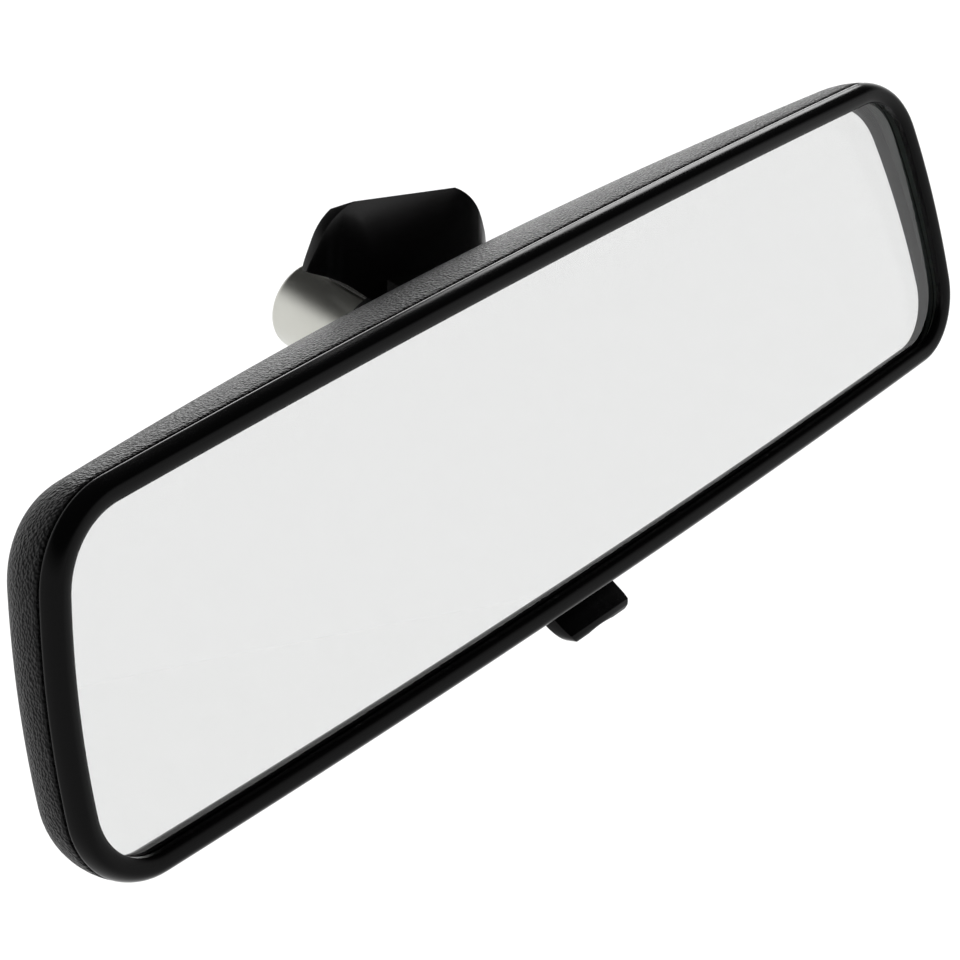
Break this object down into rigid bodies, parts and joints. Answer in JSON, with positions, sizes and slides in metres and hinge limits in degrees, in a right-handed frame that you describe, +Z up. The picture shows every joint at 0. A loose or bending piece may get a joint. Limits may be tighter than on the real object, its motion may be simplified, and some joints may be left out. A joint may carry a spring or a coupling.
{
  "type": "interior rearview mirror",
  "caption": "Interior rearview mirror: wide prismatic glass in a bezel and grained housing, day/night lever, ball joint, metal arm and windscreen foot.",
  "frame": {"origin": "on the front land of the foot's sloping face that lies against the windscreen, in the plane of symmetry of the arm", "axes": "+X to the driver's right, +Y forward through the windscreen, +Z up; the windscreen face slopes down forward at 25 degrees"},
  "size_m": [0.2586, 0.0943, 0.1055],
  "materials": {
    "grained_plastic": "black-grey moulded plastic with a fine leather-like grain",
    "satin_plastic": "smooth satin black moulded plastic",
    "inner_plastic": "dark grey glass-filled plastic",
    "nylon": "natural nylon",
    "mirror": "clear wedge glass silvered on its back",
    "film": "grey safety film",
    "foam": "dark closed-cell foam",
    "cast_metal": "satin metal",
    "steel": "plain steel"
  },
  "bodies": {
    "foot": {"foot_shell": "satin_plastic", "button_clip": "steel", "ball_stud": "steel", "arm_sleeve": "cast_metal", "arm_end_cap": "cast_metal", "stud_bush": "nylon", "stud_spring": "steel", "stud_washer": "steel", "stud_nut": "steel", "clamp_screw": "steel", "clamp_nut": "steel"},
    "liner": {"socket_liner": "nylon"},
    "ring": {"pressure_ring": "steel"},
    "bracket": {"toggle_bracket": "inner_plastic", "socket_retainer": "inner_plastic", "retainer_screw_1": "steel", "retainer_screw_2": "steel", "retainer_screw_3": "steel"},
    "case": {"rear_housing": "grained_plastic", "bezel": "satin_plastic", "mirror_glass": "mirror", "backing_film": "film", "foam_pad": "foam", "tilt_pin_left": "steel", "tilt_pin_right": "steel", "lever_pin": "steel", "detent_spring": "steel"},
    "lever": {"day_night_lever": "satin_plastic"}
  },
  "joints": [
    {"name": "head_yaw", "type": "hinge", "parent": "foot", "child": "liner", "pos_m": [0, -0.026, -0.03632], "axis": [0, 0, 1], "range_deg": [-28, 11]},
    {"name": "head_pitch", "type": "hinge", "parent": "liner", "child": "ring", "pos_m": [0, -0.026, -0.03632], "axis": [0.9938, 0.1115, 0], "range_deg": [-7, 28]},
    {"name": "head_roll", "type": "hinge", "parent": "ring", "child": "bracket", "pos_m": [0, -0.026, -0.03632], "axis": [-0.111, 0.9892, -0.0958], "range_deg": [-14, 26]},
    {"name": "case_tilt", "type": "hinge", "parent": "bracket", "child": "case", "pos_m": [-0.00347, -0.03041, -0.01521], "axis": [0.9742, 0.1273, 0.1865], "range_deg": [0, 4.5]},
    {"name": "lever_flip", "type": "hinge", "parent": "case", "child": "lever", "pos_m": [0.00576, -0.03277, -0.06176], "axis": [0.9742, 0.1273, 0.1865], "range_deg": [0, 50]}
  ],
  "couplings": [
    {"joint": "lever_flip", "follows": "case_tilt", "ratio": 11.1}
  ]
}
